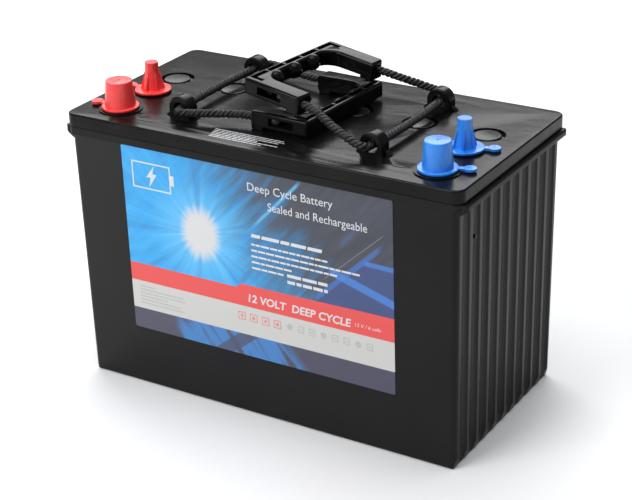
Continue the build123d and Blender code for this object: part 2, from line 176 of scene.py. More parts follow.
class Finish:
    """One material: its node tree, its Principled shader, and ways to add nodes to them."""

    def __init__(self, name, **constants):
        self.material = bpy.data.materials.new(name)
        self.material.use_nodes = True
        self.tree = self.material.node_tree
        self.tree.nodes.clear()
        self.shader = self.tree.nodes.new("ShaderNodeBsdfPrincipled")
        out = self.tree.nodes.new("ShaderNodeOutputMaterial")
        self.tree.links.new(self.shader.outputs[0], out.inputs[0])
        for socket, value in constants.items():
            self.shader.inputs[socket.replace("_", " ")].default_value = value

    def put(self, socket, value):
        if isinstance(value, Field):
            self.tree.links.new(value.socket, socket)
        else:
            colour = isinstance(value, tuple) and socket.type == "RGBA"
            socket.default_value = (*value, 1) if colour else value

    def node(self, kind, settings=(), inputs=(), output=0):
        """Adds a node, sets its settings and then its sockets, and returns one of its outputs."""
        node = self.tree.nodes.new(kind)
        for key, value in dict(settings).items():
            if key == "stops":
                self.stops(node.color_ramp, value)
            else:
                setattr(node, key, value)
        for key, value in dict(inputs).items():
            self.put(node.inputs[key], value)
        return Field(self, node.outputs[output])

    @staticmethod
    def stops(ramp, stops):
        """Gives a ramp its (position, colour) stops."""
        while len(ramp.elements) < len(stops):
            ramp.elements.new(0.5)
        for element, (position, colour) in zip(ramp.elements, stops):
            element.position, element.color = position, (*colour, 1)

    def place(self, centre=(0, 0, 0), size=(1, 1, 1), turn=(0, 0, 0)):
        """The object's own coordinates in metres, centred, turned and counted in sizes."""
        where = self.node("ShaderNodeTexCoord", output="Object")
        return self.node("ShaderNodeMapping", {"vector_type": "TEXTURE"},
                         {"Vector": where, "Location": centre, "Rotation": turn, "Scale": size})

    def axes(self, vector):
        """The three numbers of a vector."""
        x = self.node("ShaderNodeSeparateXYZ", inputs={0: vector})
        outputs = x.socket.node.outputs
        return Field(self, outputs[0]), Field(self, outputs[1]), Field(self, outputs[2])

    def noise(self, vector, scale, detail=2.0, roughness=0.5, distortion=0.0):
        return self.node("ShaderNodeTexNoise", inputs={"Vector": vector, "Scale": scale, "Detail": detail,
                                                       "Roughness": roughness, "Distortion": distortion})

    def cells(self, vector, scale, feature="F1", output="Distance"):
        return self.node("ShaderNodeTexVoronoi", {"feature": feature}, {"Vector": vector, "Scale": scale},
                         output)

    def blend(self, mask, first, second):
        """The first colour where mask is 0 and the second where it is 1."""
        return self.node("ShaderNodeMix", {"data_type": "RGBA"}, {0: mask, 6: first, 7: second}, 2)

    def ramp(self, value, *stops):
        return self.node("ShaderNodeValToRGB", {"stops": stops}, {0: value})

    def bump(self, height, distance, strength=1.0, normal=None):
        """Tilts the surface as a relief of that height field would, distance metres deep."""
        inputs = {"Strength": strength, "Distance": distance, "Height": height}
        if normal is not None:
            inputs["Normal"] = normal
        return self.node("ShaderNodeBump", inputs=inputs)

    def feed(self, **sockets):
        for socket, value in sockets.items():
            self.put(self.shader.inputs[socket.replace("_", " ")], value)
        return self

# %% [markdown]
# ## Making meshes from arrays
# Most new shapes here are a grid of points worked out as one array: rows run along the piece
# and columns round it. The faces of such a grid are the same simple pattern every time, so one
# function makes them, and another puts points and faces into a mesh.

# %% Mesh helpers
def grid_faces(rows, columns, closed):
    """Quads between neighbours on a grid; when closed, the last column joins the first."""
    i = np.arange(rows - 1)[:, None]
    j = np.arange(columns if closed else columns - 1)[None]
    here, beside = i * columns + j, i * columns + (j + 1) % columns
    return np.stack([here, beside, beside + columns, here + columns], -1).reshape(-1, 4)


def show(mesh, name, finish, body, smooth_below=None):
    """Puts a finished mesh in the scene as a piece that rides on a body."""
    mesh.name = name
    if smooth_below is not None:
        mesh.shade_smooth()
        mesh.set_sharp_from_angle(angle=math.radians(smooth_below))
    mesh.materials.clear()
    mesh.materials.append(finish.material)
    piece = bpy.data.objects.new(name, mesh)
    bpy.context.scene.collection.objects.link(piece)
    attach(piece, body)
    return piece


def mesh_of(points, faces):
    """A mesh from an array of points and a list of faces, with its doubles merged and its faces turned outwards."""
    mesh = bpy.data.meshes.new("shape")
    mesh.from_pydata(np.asarray(points).tolist(), [], [list(map(int, face)) for face in faces])
    return cleaned(mesh)


def cleaned(mesh, merge=1e-7, outwards=True):
    """Merges doubled points and, for a closed shape, turns all faces outwards."""
    work = bmesh.new()
    work.from_mesh(mesh)
    bmesh.ops.remove_doubles(work, verts=work.verts, dist=merge)
    if outwards:
        bmesh.ops.recalc_face_normals(work, faces=work.faces)
    work.to_mesh(mesh)
    work.free()
    return mesh


print("four points in two rows make", len(grid_faces(2, 2, False)), "face")

# %% [markdown]
# ## Floor
# The battery stands on a plain pale sweep of paper. It isn't part of the object.
# Its faint mottling keeps large even areas from looking computed.

# %% Floor
paper = Finish("paper_sweep", Roughness=0.85)
mottle = paper.noise(paper.place(), 3.0, 3.0)
paper.feed(Base_Color=paper.ramp(mottle, (0.3, (0.91, 0.915, 0.92)), (0.7, (0.94, 0.945, 0.95))))
floor_mesh = bpy.data.meshes.new("floor")
floor_mesh.from_pydata([(-6, -4, 0), (6, -4, 0), (6, 8, 0), (-6, 8, 0)], [], [(0, 1, 2, 3)])
floor_mesh.materials.append(paper.material)
floor = bpy.data.objects.new("floor", floor_mesh)
bpy.context.scene.collection.objects.link(floor)
print("floor is", floor.dimensions[0], "m wide")

# %% [markdown]
# ## The carry ropes
# Each handle is a plastic grip on a rope of three strands laid round each other, about 6 mm
# thick. The line it follows is a NURBS spline of order 3, whose control points pull on it like
# magnets without being touched, and this gives the soft bends of a real rope. The spline is
# turned into points once, and everything on the rope is then built from those points.

# %% Rope lines
ROPE_D = 6.2 * MM
UPPER_ROUTE = [(3.4, -43.9, 240.5), (29.4, -46.9, 237.2), (50.0, -55.5, 229.5), (73.4, -61.4, 221.5),
               (79.0, -57.4, 220.0), (81.4, -20.0, 219.8), (81.6, 20.0, 219.8), (79.0, 57.2, 220.0),
               (73.5, 60.6, 221.4), (60.0, 53.0, 227.5), (41.4, 39.3, 236.9), (13.5, 42.5, 240.5)]
LOWER_ROUTE = [(-2.8, -43.2, 220.9), (-28.8, -42.0, 220.7), (-52.0, -51.0, 220.2), (-73.6, -61.2, 220.2),
               (-79.0, -57.4, 220.0), (-81.6, -20.0, 219.8), (-81.4, 20.0, 219.8), (-79.0, 57.4, 220.0),
               (-73.6, 61.2, 220.2), (-50.0, 53.0, 220.2), (-24.7, 44.9, 220.7), (1.2, 43.7, 220.9)]


def rope_line(name, route):
    """Evenly spaced points along the order 3 NURBS spline that has the route as its control points."""
    curve = bpy.data.curves.new(name, "CURVE")
    curve.dimensions = "3D"
    spline = curve.splines.new("NURBS")
    spline.points.add(len(route) - 1)
    spline.points.foreach_set("co", np.c_[np.array(route) * MM, np.ones(len(route))].ravel())
    spline.order_u, spline.use_endpoint_u, spline.resolution_u = 3, True, 24
    mesh = bpy.data.meshes.new_from_object(bpy.data.objects.new(name, curve))
    points = np.empty(3 * len(mesh.vertices))
    mesh.vertices.foreach_get("co", points)
    points = points.reshape(-1, 3)
    run = np.r_[0, np.cumsum(np.linalg.norm(np.diff(points, axis=0), axis=1))]
    even = np.linspace(0, run[-1], round(run[-1] / (0.7 * MM)))
    return np.stack([np.interp(even, run, axis) for axis in points.T], -1), run[-1]


upper_line, upper_length = rope_line("upper_route", UPPER_ROUTE)
lower_line, lower_length = rope_line("lower_route", LOWER_ROUTE)
print(f"rope lengths {upper_length:.4f} m and {lower_length:.4f} m")

# %% [markdown]
# A strand is a thin tube whose centre circles the rope's line. Three strands that circle a third
# of a turn apart touch each other and fill the rope, so the strand's radius follows from the
# rope's: r = R / (1 + 2 / sqrt(3)). The frame that carries each ring is built from the strand's
# own direction and the outward direction, so nothing twists by accident.

# %% Laid strands
STRANDS, LAY_LENGTH, RING = 3, 10.5 * MM, 10


def unit(vectors):
    return vectors / np.linalg.norm(vectors, axis=-1, keepdims=True)


def strand(line, phase):
    """Tube of radius r round the helix p(s) = line(s) + h (cos a side + sin a up), with a = 2 pi s / lay + phase."""
    strand_r = ROPE_D / 2 / (1 + 2 / math.sqrt(3))
    helix_r = ROPE_D / 2 - strand_r
    along = unit(np.gradient(line, axis=0))
    side = unit(np.cross(along, (0.0, 0.0, 1.0)))
    up = np.cross(side, along)
    run = np.r_[0, np.cumsum(np.linalg.norm(np.diff(line, axis=0), axis=1))]
    angle = 2 * np.pi * run / LAY_LENGTH + phase + 0.18 * np.sin(run / (31 * MM) + phase)
    out = np.cos(angle)[:, None] * side + np.sin(angle)[:, None] * up
    centre = line + helix_r * out
    forward = unit(np.gradient(centre, axis=0))
    out = unit(out - (out * forward).sum(1, keepdims=True) * forward)
    across = np.cross(forward, out)
    swell = strand_r * (1 + 0.035 * np.sin(run / (5.3 * MM) + 2.1 * phase) + 0.025 * np.sin(run / (2.9 * MM)))
    turn = np.linspace(0, 2 * np.pi, RING, endpoint=False)
    ring = np.cos(turn)[None, :, None] * out[:, None] + np.sin(turn)[None, :, None] * across[:, None]
    return centre[:, None] + swell[:, None, None] * ring, run


def laid_rope(name, line, finish, body):
    """The three strands of one rope in one mesh, with a UV map that runs round and along each strand."""
    points, faces, uvs = [], [], []
    for phase in 2 * np.pi * np.arange(STRANDS) / STRANDS:
        tube, run = strand(line, phase)
        quads = grid_faces(len(line), RING, True)
        start = sum(map(len, points))
        row, column = np.divmod(np.arange(len(quads)), RING)
        corners = [(column, row), (column + 1, row), (column + 1, row + 1), (column, row + 1)]
        uvs.append(np.stack([np.stack([c / RING, run[r] / (10 * MM)], -1) for c, r in corners], 1).reshape(-1, 2))
        points.append(tube.reshape(-1, 3))
        faces.append(quads + start)
    faces, ends = np.concatenate(faces)[:, ::-1], []
    for first in range(0, sum(map(len, points)), len(line) * RING):
        last = first + (len(line) - 1) * RING
        ends += [list(range(first, first + RING)), list(range(last, last + RING))[::-1]]
    mesh = bpy.data.meshes.new(name)
    mesh.from_pydata(np.concatenate(points).tolist(), [], faces.tolist() + ends)
    layer = mesh.uv_layers.new(name="strand")
    sides = np.concatenate(uvs).reshape(-1, 4, 2)[:, ::-1].reshape(-1, 2)
    flat = np.concatenate([sides, np.zeros((2 * STRANDS * RING, 2))])
    layer.data.foreach_set("uv", flat.ravel())
    return show(mesh, name, finish, body, 60)


# %% [markdown]
# The fibre finish follows the strand: fine yarns wind round it against the rope's lay, so the
# pattern is a sine of both UV numbers together. A little fuzz lifts the yarns out of pure black.

# %% Rope finish and ropes
rope_black = Finish("rope_fibre", IOR=1.5, Specular_IOR_Level=0.4, Sheen_Weight=0.06, Sheen_Roughness=0.4)
strand_uv = rope_black.node("ShaderNodeUVMap", {"uv_map": "strand"})
around, along, _ = rope_black.axes(strand_uv)
yarn = ((around * 8 - along * 3.2) * (2 * math.pi)).sine() * 0.5 + 0.5
fuzz = rope_black.noise(rope_black.place(), 900, 3)
rope_black.feed(Base_Color=rope_black.ramp(yarn * 0.6 + fuzz * 0.5, (0.2, (0.003, 0.003, 0.0035)),
                                           (0.85, (0.02, 0.0205, 0.0215))),
                Roughness=0.52 - yarn * 0.16,
                Normal=rope_black.bump(yarn * 0.8 + fuzz * 0.4, 0.00022, 0.9))

upper_rope = laid_rope("upper_rope_strands", upper_line, rope_black, "upper_handle")
lower_rope = laid_rope("lower_rope_strands", lower_line, rope_black, "lower_handle")
for piece, node, line, length in ((upper_rope, "upper_rope", upper_line, upper_length),
                                  (lower_rope, "lower_rope", lower_line, lower_length)):
    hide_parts(node)
    print(piece.name, len(piece.data.polygons), "faces")

# %% [markdown]
# The rope's ends are melted into hard knobs, so that they can't slip out of the grip. A knob is
# a sphere's grid whose radius swells and dips a little, as molten fibre does when it is pressed.

# %% Melted stops
def knob(centre, radius, seed):
    """Sphere grid with radius R (1 + small waves of the two angles)."""
    lat = np.linspace(0, np.pi, 17)[:, None]
    lon = np.linspace(0, 2 * np.pi, 24, endpoint=False)[None]
    wave = 0.05 * np.sin(3 * lon + seed) * np.sin(lat) ** 2 + 0.04 * np.cos(2 * lat + seed) * np.sin(lat) ** 2
    r = radius * (0.96 + wave)
    grid = np.stack([r * np.sin(lat) * np.cos(lon), r * np.sin(lat) * np.sin(lon),
                     r * np.cos(lat) * np.ones_like(lon)], -1)
    return grid.reshape(-1, 3) + centre, grid_faces(17, 24, True)


melted = Finish("melted_fibre", Roughness=0.3, IOR=1.5)
drips = melted.noise(melted.place(), 420, 3)
melted.feed(Base_Color=melted.ramp(drips, (0.3, (0.008, 0.008, 0.008)), (0.75, (0.03, 0.03, 0.032))),
            Roughness=drips * 0.35 + 0.12, Normal=melted.bump(drips, 0.0006, 0.6))
for body, line in (("upper_handle", upper_line), ("lower_handle", lower_line)):
    for number, end in enumerate((line[0], line[-1]), 1):
        mesh = mesh_of(*knob(end, 4.35 * MM, 1.7 * number))
        show(mesh, f"{body}_stop_{number}", melted, body, 60)
print("four melted stops")

# %% [markdown]
# ## Black plastics
# The case is polypropylene from a mould with a fine satin texture, so its gloss is broad and a
# little uneven, and it has faint vertical drag marks from leaving the mould. The lid comes from
# a polished mould: it is nearly a mirror, disturbed only by slight flow ripples, dust and the
# hairline rubs of handling. All of this is roughness and shallow bump, and hardly any colour.

# %% Case and lid finishes
def scuffs(finish, scale, amount):
    """Sparse fine lines: noise stretched a hundredfold along one direction and cut to its peaks."""
    long_way = finish.place(size=(0.012, 0.012, 1.0), turn=(0.3, 0.2, 0.5))
    return finish.noise(long_way, scale, 4, 0.6).step(0.62, 0.8) * amount


satin = Finish("case_satin", IOR=1.49, Specular_IOR_Level=0.16)
grain = satin.noise(satin.place(), 1500, 2)
cloud = satin.noise(satin.place(), 14, 4, 0.55)
drag = satin.noise(satin.place(size=(0.004, 0.004, 0.25)), 1.0, 3)
satin.feed(Base_Color=satin.ramp(cloud * 0.7 + grain * 0.3, (0.3, (0.005, 0.0051, 0.0056)),
                                 (0.75, (0.01, 0.0101, 0.0107))),
           Roughness=cloud * 0.12 + drag * 0.1 + 0.24 + scuffs(satin, 30, 0.12),
           Normal=satin.bump(grain * 0.6 + drag * 0.6, 0.00006, 0.7))

gloss = Finish("lid_gloss", IOR=1.5, Specular_IOR_Level=0.12, Coat_Roughness=0.12)
flow = gloss.noise(gloss.place(size=(1, 0.5, 1)), 26, 3, 0.45, 0.6)
dust = gloss.noise(gloss.place(), 2600, 1).step(0.68, 0.8)
rubs = scuffs(gloss, 26, 0.2)
gloss.feed(Base_Color=gloss.blend(dust * 0.3, gloss.ramp(flow, (0.3, (0.003, 0.003, 0.0035)),
                                                         (0.7, (0.007, 0.007, 0.0075))), (0.05, 0.05, 0.052)),
           Roughness=flow * 0.08 + 0.2 + dust * 0.2 + rubs, Coat_Weight=0.03 - rubs * 0.1,
           Normal=gloss.bump(flow, 0.0012, 0.35))

grip_black = Finish("grip_gloss", IOR=1.5, Specular_IOR_Level=0.08, Coat_Roughness=0.03)
ripple = grip_black.noise(grip_black.place(), 55, 3, 0.5, 0.4)
speck = grip_black.noise(grip_black.place(), 1800, 2)
wear = scuffs(grip_black, 45, 0.25)
grip_black.feed(Base_Color=grip_black.ramp(ripple + wear, (0.3, (0.003, 0.003, 0.0035)), (0.8, (0.008, 0.008, 0.009))),
                Roughness=ripple * 0.1 + 0.08 + wear, Coat_Weight=0.08 - wear * 0.2,
                Normal=grip_black.bump(ripple + speck * 0.04, 0.0008, 0.3))

matt = Finish("vent_cover_matt", IOR=1.49, Specular_IOR_Level=0.3)
pits = matt.noise(matt.place(), 1100, 3)
swirl = matt.noise(matt.place(), 60, 2)
matt.feed(Base_Color=matt.ramp(swirl, (0.3, (0.006, 0.006, 0.0065)), (0.7, (0.012, 0.012, 0.0125))),
          Roughness=swirl * 0.15 + pits * 0.1 + 0.12, Normal=matt.bump(pits + swirl * 0.8, 0.00025, 0.6))
print("finishes so far:", len(bpy.data.materials))

# %% [markdown]
# ## Rounding the edges of the moulded pieces
# No moulded edge is truly sharp, and the thin bright lines along the edges are what tells the
# eye that a part is real. A CAD piece has exact edges, so a copy of each visible moulding is
# merged, its flat areas are joined into single faces, and a Bevel modifier rounds every edge
# sharper than 25 degrees. The copy then stands for the CAD piece.

# %% Softened copies
def softened(node, finish, body, width, segments=2, limit=25):
    """A copy of a CAD piece with its sharp edges rounded by width metres."""
    mesh = nodes[node].data.copy()
    cleaned(mesh, 2e-6, outwards=False)
    work = bmesh.new()
    work.from_mesh(mesh)
    bmesh.ops.dissolve_limit(work, angle_limit=math.radians(0.6), verts=work.verts, edges=work.edges)
    work.to_mesh(mesh)
    work.free()
    piece = show(mesh, f"{node}_moulding", finish, body, limit + 5)
    bevel = piece.modifiers.new("rounded_edges", "BEVEL")
    bevel.width, bevel.segments, bevel.limit_method = width, segments, "ANGLE"
    bevel.angle_limit, bevel.harden_normals = math.radians(limit), True
    bevel.use_clamp_overlap, bevel.miter_outer = True, "MITER_ARC"
    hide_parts(node)
    return piece


for node, finish, body, slot, width in (
        ("case", satin, "battery", "case_plastic", 0.45 * MM), ("lid", gloss, "battery", "lid_plastic", 0.35 * MM),
        ("upper_grip", grip_black, "upper_handle", "grip_plastic", 0.4 * MM),
        ("lower_grip", grip_black, "lower_handle", "grip_plastic", 0.4 * MM)):
    piece = softened(node, finish, body, width)
    print(piece.name, len(piece.data.polygons), "faces before rounding")
for number in range(1, 7):
    softened(f"vent_cover_{number}", matt, "battery", 0.15 * MM, limit=40)

# %% [markdown]
# ## Terminal caps
# The caps are soft vinyl, red over the positive terminals and blue over the negative ones.
# Light enters vinyl a little way and comes back coloured, which subsurface scattering shows.
# Handling leaves paler rubbed patches.

# %% Cap finishes
def vinyl(name, deep, pale, glow):
    """Soft coloured vinyl: even colour with faint marbling, rubbed paler in patches."""
    cap = Finish(name, IOR=1.5, Subsurface_Weight=0.25, Subsurface_Radius=glow, Subsurface_Scale=0.0015,
                 Coat_Roughness=0.12)
    marble = cap.noise(cap.place(), 120, 4, 0.6, 0.5)
    rubbed = cap.noise(cap.place(), 260, 3).step(0.58, 0.75)
    pores = cap.noise(cap.place(), 2200, 1)
    cap.feed(Base_Color=cap.blend(rubbed * 0.35, cap.ramp(marble, (0.3, deep), (0.75, pale)), pale),
             Roughness=marble * 0.15 + 0.22 + rubbed * 0.15, Coat_Weight=0.25 - rubbed * 0.15,
             Normal=cap.bump(marble * 0.8 + pores * 0.25, 0.00025, 0.6))
    return cap


red = vinyl("cap_red_vinyl", (0.95, 0.035, 0.036), (1.0, 0.085, 0.08), (1.0, 0.25, 0.2))
blue = vinyl("cap_blue_vinyl", (0.014, 0.2, 0.78), (0.03, 0.3, 0.92), (0.2, 0.4, 1.0))
for polarity, finish, slot in (("positive", red, "cap_red"), ("negative", blue, "cap_blue")):
    for kind in ("post_cap", "stud_cap"):
        softened(f"{polarity}_{kind}", finish, f"{polarity}_{kind}", 0.3 * MM)

# %% [markdown]
# ## The hidden metal and glass
# These pieces show when a cap is pulled off or the case is opened. Lead castings are dull and
# mottled grey, the studs are turned steel with fine rings, pasted plates are chalky, and the
# mats between them are pressed glass wool.

# %% Inner finishes
lead = Finish("cast_lead", Metallic=0.9)
bloom = lead.noise(lead.place(), 160, 5, 0.6)
lead.feed(Base_Color=lead.ramp(bloom, (0.3, (0.2, 0.205, 0.215)), (0.7, (0.4, 0.41, 0.43))),
          Roughness=bloom * 0.3 + 0.4, Normal=lead.bump(bloom, 0.0002, 0.6))

steel = Finish("turned_steel", Metallic=1.0)
_, _, height = steel.axes(steel.place())
rings = (height * (2 * math.pi / 0.00125)).sine() * 0.5 + 0.5
smear = steel.noise(steel.place(), 300, 3)
steel.feed(Base_Color=steel.ramp(smear, (0.2, (0.5, 0.5, 0.49)), (0.8, (0.68, 0.68, 0.66))),
           Roughness=smear * 0.15 + 0.22, Normal=steel.bump(rings, 0.0003, 0.8))

rubber = Finish("valve_rubber", IOR=1.45)
talc = rubber.noise(rubber.place(), 700, 4)
rubber.feed(Base_Color=rubber.ramp(talc, (0.35, (0.012, 0.012, 0.012)), (0.8, (0.05, 0.05, 0.05))),
            Roughness=talc * 0.2 + 0.6, Normal=rubber.bump(talc, 0.0001, 0.5))


def pasted(name, dark, light):
    """Chalky paste pressed into a grid, whose bars show through as a faint relief."""
    plate = Finish(name)
    _, y, z = plate.axes(plate.place(size=(1, 0.006, 0.009)))
    bars = abs(y.fraction() - 0.5).above(abs(z.fraction() - 0.5)).step(0.36, 0.48)
    crumbs = plate.noise(plate.place(), 900, 4)
    plate.feed(Base_Color=plate.ramp(crumbs + bars * 0.2, (0.3, dark), (0.85, light)),
               Roughness=crumbs * 0.1 + 0.8, Normal=plate.bump(crumbs * 0.4 + bars, 0.0002, 0.8))
    return plate


brown = pasted("positive_paste", (0.045, 0.02, 0.012), (0.11, 0.055, 0.035))
grey = pasted("negative_paste", (0.13, 0.135, 0.14), (0.27, 0.275, 0.28))
wool = Finish("glass_wool", Sheen_Weight=0.3)
fibres = wool.noise(wool.place(size=(1, 0.2, 1)), 1400, 4, 0.7, 1.2)
wool.feed(Base_Color=wool.ramp(fibres, (0.3, (0.62, 0.62, 0.6)), (0.8, (0.86, 0.86, 0.84))),
          Roughness=fibres * 0.1 + 0.85, Normal=wool.bump(fibres, 0.0003, 0.7))

INNER = {"terminal": lead, "stud": steel, "vent_valve": rubber, "positive_plates": brown,
         "negative_plates": grey, "glass_mat": wool, "cell_weld": lead}
for name, piece in nodes.items():
    for word, finish in INNER.items():
        if word in name and not piece.hide_render:
            piece.data.materials.clear()
            piece.data.materials.append(finish.material)
print("inner nodes finished:", sum(any(w in n for w in INNER) for n in nodes))

# %% [markdown]
# ## The front label
# The label is one printed film. Its artwork is flat areas and gradients, so it is painted by
# formulas of two numbers: x along the front and z up, both in millimetres. The lower third has
# a red stripe that gets thicker at a slanted step, a pale strip and a dark blue foot. The sky
# above glows round one point, with rays, and fades through slanted bands into slate.

# %% Label colours
film = Finish("label_film", IOR=1.5, Coat_Roughness=0.08)
x, _, z = film.axes(film.place(size=(MM, MM, MM)))


def glow_at(cx, cz, stretch=1.0):
    """Distance in mm from a point, with heights counted stretch times."""
    dx, dz = x - cx, (z - cz) * stretch
    return (dx * dx + dz * dz) ** 0.5


def slanted(slope, offset, half_width, soft):
    """1 inside a band round the line z = slope x + offset, and 0 outside its soft edges."""
    return abs(z - x * slope - offset).step(half_width + soft, half_width - soft)


GLOW_X, GLOW_Z = -47.8, 139.0
bearing = film.node("ShaderNodeMath", {"operation": "ARCTAN2"}, {0: z - GLOW_Z, 1: x - GLOW_X})
far = glow_at(GLOW_X, GLOW_Z)
rays = film.noise(film.node("ShaderNodeCombineXYZ", inputs={0: bearing * 2.6, 1: far * 0.004, 2: 0.4}), 3.0, 3, 0.6)
streaks = film.noise(film.node("ShaderNodeCombineXYZ", inputs={0: (z - x * 1.05) * 0.03, 1: (z + x) * 0.004, 2: 0.0}),
                     3.4, 3, 0.55)
dusk = ((x * 0.74 + z * 0.45 - 62) / 62 + (streaks - 0.5) * 1.7 + (rays - 0.5) * 0.5).step(-0.55, 0.75)
sky = film.ramp(rays * 0.75 + (streaks - 0.5) * 0.35 + 0.12, (0.25, (0.004, 0.2, 0.52)), (0.5, (0.006, 0.36, 0.8)),
                (0.75, (0.03, 0.45, 0.88)))
slate = film.ramp(streaks, (0.35, (0.018, 0.024, 0.04)), (0.62, (0.036, 0.042, 0.065)), (0.85, (0.03, 0.1, 0.27)))
art = film.blend(dusk, sky, slate)
print("sky stops at", (GLOW_X, GLOW_Z))

# %% [markdown]
# Slanted bands cross the right side: two bright ones that climb from the step of the stripe, and
# one that falls towards the corner. Each is a distance from a line, cut with a soft edge, and
# each is limited to its own stretch of x.

# %% Bands, glow, stripes
right_part = x.step(46, 50)
climb = slanted(0.93, 65.0, 2.6, 0.9) * x.step(104, 96) * right_part
below_climb = (z - x * 0.93 - 65.0).step(0.5, -0.5) * right_part
fall = slanted(-0.30, 151.5, 3.2, 0.8) * x.step(58, 62)
level = slanted(-0.02, 147.0, 1.8, 0.7) * x.step(86, 90)
hairline = slanted(0.9, 76.2, 0.25, 0.15) * x.step(54, 57) * x.step(104, 101)
art = film.blend(below_climb * (z - 146).step(1, -1) * 0.85, art, (0.016, 0.05, 0.2))
art = film.blend(climb * 0.55, art, (0.03, 0.17, 0.6))
art = film.blend(fall * 0.8, art, (0.035, 0.2, 0.66))
art = film.blend(level * 0.8, art, (0.03, 0.18, 0.62))
art = film.blend(hairline * 0.4, art, (0.4, 0.5, 0.65))
shine = slanted(1.02, 156.0, 1.6, 1.2) * x.step(-10, 8) * x.step(40, 34) * 0.75
art = film.blend(shine, art, (0.1, 0.5, 0.9))
halo = (far / 50 - (rays - 0.5) * 0.5).step(1.0, 0.1)
art = film.blend(halo * 0.55, art, (0.2, 0.66, 0.98))
core = (glow_at(GLOW_X, GLOW_Z, 0.8) / 17.5 - (rays - 0.5) * 0.55).step(1.15, 0.6)
art = film.blend(core, art, (0.66, 0.665, 0.67))
foot_noise = film.noise(film.node("ShaderNodeCombineXYZ", inputs={0: (x + z * 0.7) * 0.02, 1: z * 0.004, 2: 2.0}),
                        4.5, 3, 0.5)
bright_foot = x.step(-78, -66) * (x + z * 0.9).step(88, 72)
foot = film.blend(bright_foot * foot_noise.step(0.36, 0.52), (0.042, 0.04, 0.085), (0.025, 0.19, 0.52))
foot = film.blend(slanted(0.8, 74.0, 6.5, 1.0) * 0.85, foot, (0.04, 0.045, 0.1))
stripe_top = x.step(-20, -13.5) * 3.7 + 103.0 + x.step(0, 110) * 1.3
edge = (x + 113) * 0.006
red_part = (z - stripe_top).step(0.25, -0.25)
white_part = (z - edge - 88.3).step(0.25, -0.25)
foot_part = (z - edge - 65.3).step(0.25, -0.25)
art = film.blend(red_part, art, (0.78, 0.055, 0.048))
art = film.blend(white_part, art, (0.585, 0.585, 0.56))
art = film.blend(foot_part, art, foot)
ink = film.noise(film.place(), 5200, 1)
print("label stripes painted")

# %% [markdown]
# The print is under a clear film. It lies almost flat, but not quite: a long, slow waviness bends
# its reflections, and the ink has a very fine screen.

# %% Film surface
wavy = film.noise(film.place(), 22, 2)
film.feed(Base_Color=film.blend(ink * 0.06, art, (0.5, 0.5, 0.52)), Roughness=wavy * 0.12 + 0.26,
          Coat_Weight=wavy * 0.1 + 0.1, Normal=film.bump(wavy, 0.0012, 0.25))
label = nodes["front_label"]
label.data.materials.clear()
label.data.materials.append(film.material)

low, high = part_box("front_label")
LEAN = math.atan((80.8 - 78.6) / 196.8)
LABEL_FACE = (Matrix.Translation((-1.5 * MM, low.y + 74 * MM * math.sin(LEAN), 122.5 * MM))
              @ Matrix.Rotation(LEAN, 4, "X") @ Matrix.Rotation(math.pi / 2, 4, "X"))
print("label face at y", round(LABEL_FACE.translation.y / MM, 2), "mm, leaning", round(math.degrees(LEAN), 2))

# %% [markdown]
# ## Print on the label
# Words and signs are thin raised ink, made from text and from flat shapes. A text object becomes
# a mesh first, and then its letters are moved onto the leaning label by changing its points, so
# the object itself stays at the origin. Long small print is drawn as bars, one for each word.

# %% Ink
def ink_finish(name, colour, worn):
    """Printing ink: one colour with fine speckle where it is worn thin."""
    print_ink = Finish(name, IOR=1.5)
    speckle = print_ink.noise(print_ink.place(), 3000, 3)
    print_ink.feed(Base_Color=print_ink.ramp(speckle, (0.25, worn), (0.6, colour)), Roughness=speckle * 0.1 + 0.3)
    return print_ink


white_ink = ink_finish("white_ink", (0.68, 0.69, 0.7), (0.6, 0.62, 0.65))
grey_ink = ink_finish("grey_ink", (0.42, 0.43, 0.42), (0.55, 0.56, 0.55))
red_ink = ink_finish("red_ink", (0.7, 0.2, 0.2), (0.8, 0.35, 0.33))


def on_face(mesh, face):
    """Moves a mesh drawn in millimetres, with X right and Y up, onto a face of the battery."""
    mesh.transform(face @ Matrix.Scale(MM, 4))
    return cleaned(mesh, 1e-8)


def words(name, text, left, base, height, finish, face=LABEL_FACE, slant=0.0, stretch=1.0, weight=0.0,
          slot="label_film"):
    """A line of capitals and small letters, height mm tall, whose lower left corner is at (left, base)."""
    curve = bpy.data.curves.new(name, "FONT")
    curve.body, curve.size, curve.shear = text, height * 1.42, slant
    curve.extrude, curve.offset, curve.resolution_u = 0.03, weight, 3
    mesh = bpy.data.meshes.new_from_object(bpy.data.objects.new(name, curve))
    mesh.transform(Matrix.Translation((left, base, 0.045)) @ Matrix.Diagonal((stretch, 1, 1, 1)))
    return show(on_face(mesh, face), name, finish, "battery")


def plates(name, outlines, finish, face=LABEL_FACE, rise=0.05):
    """Flat shapes from lists of (x, y) corners in mm, each a closed plate rise mm thick."""
    points, faces = [], []
    for outline in outlines:
        first, count = len(points), len(outline)
        ring = np.array(outline, float)
        points += np.c_[ring, np.full(count, 0.01)].tolist() + np.c_[ring, np.full(count, rise)].tolist()
        faces += [list(range(first, first + count))[::-1], list(range(first + count, first + 2 * count))]
        faces += [[first + i, first + (i + 1) % count, first + count + (i + 1) % count, first + count + i]
                  for i in range(count)]
    return show(on_face(mesh_of(points, faces), face), name, finish, "battery")


def at(x_mm, z_mm):
    """Label millimetres from its own middle, for a place given by x and height above the base."""
    return x_mm + 1.5, (z_mm - 122.5) / math.cos(LEAN)


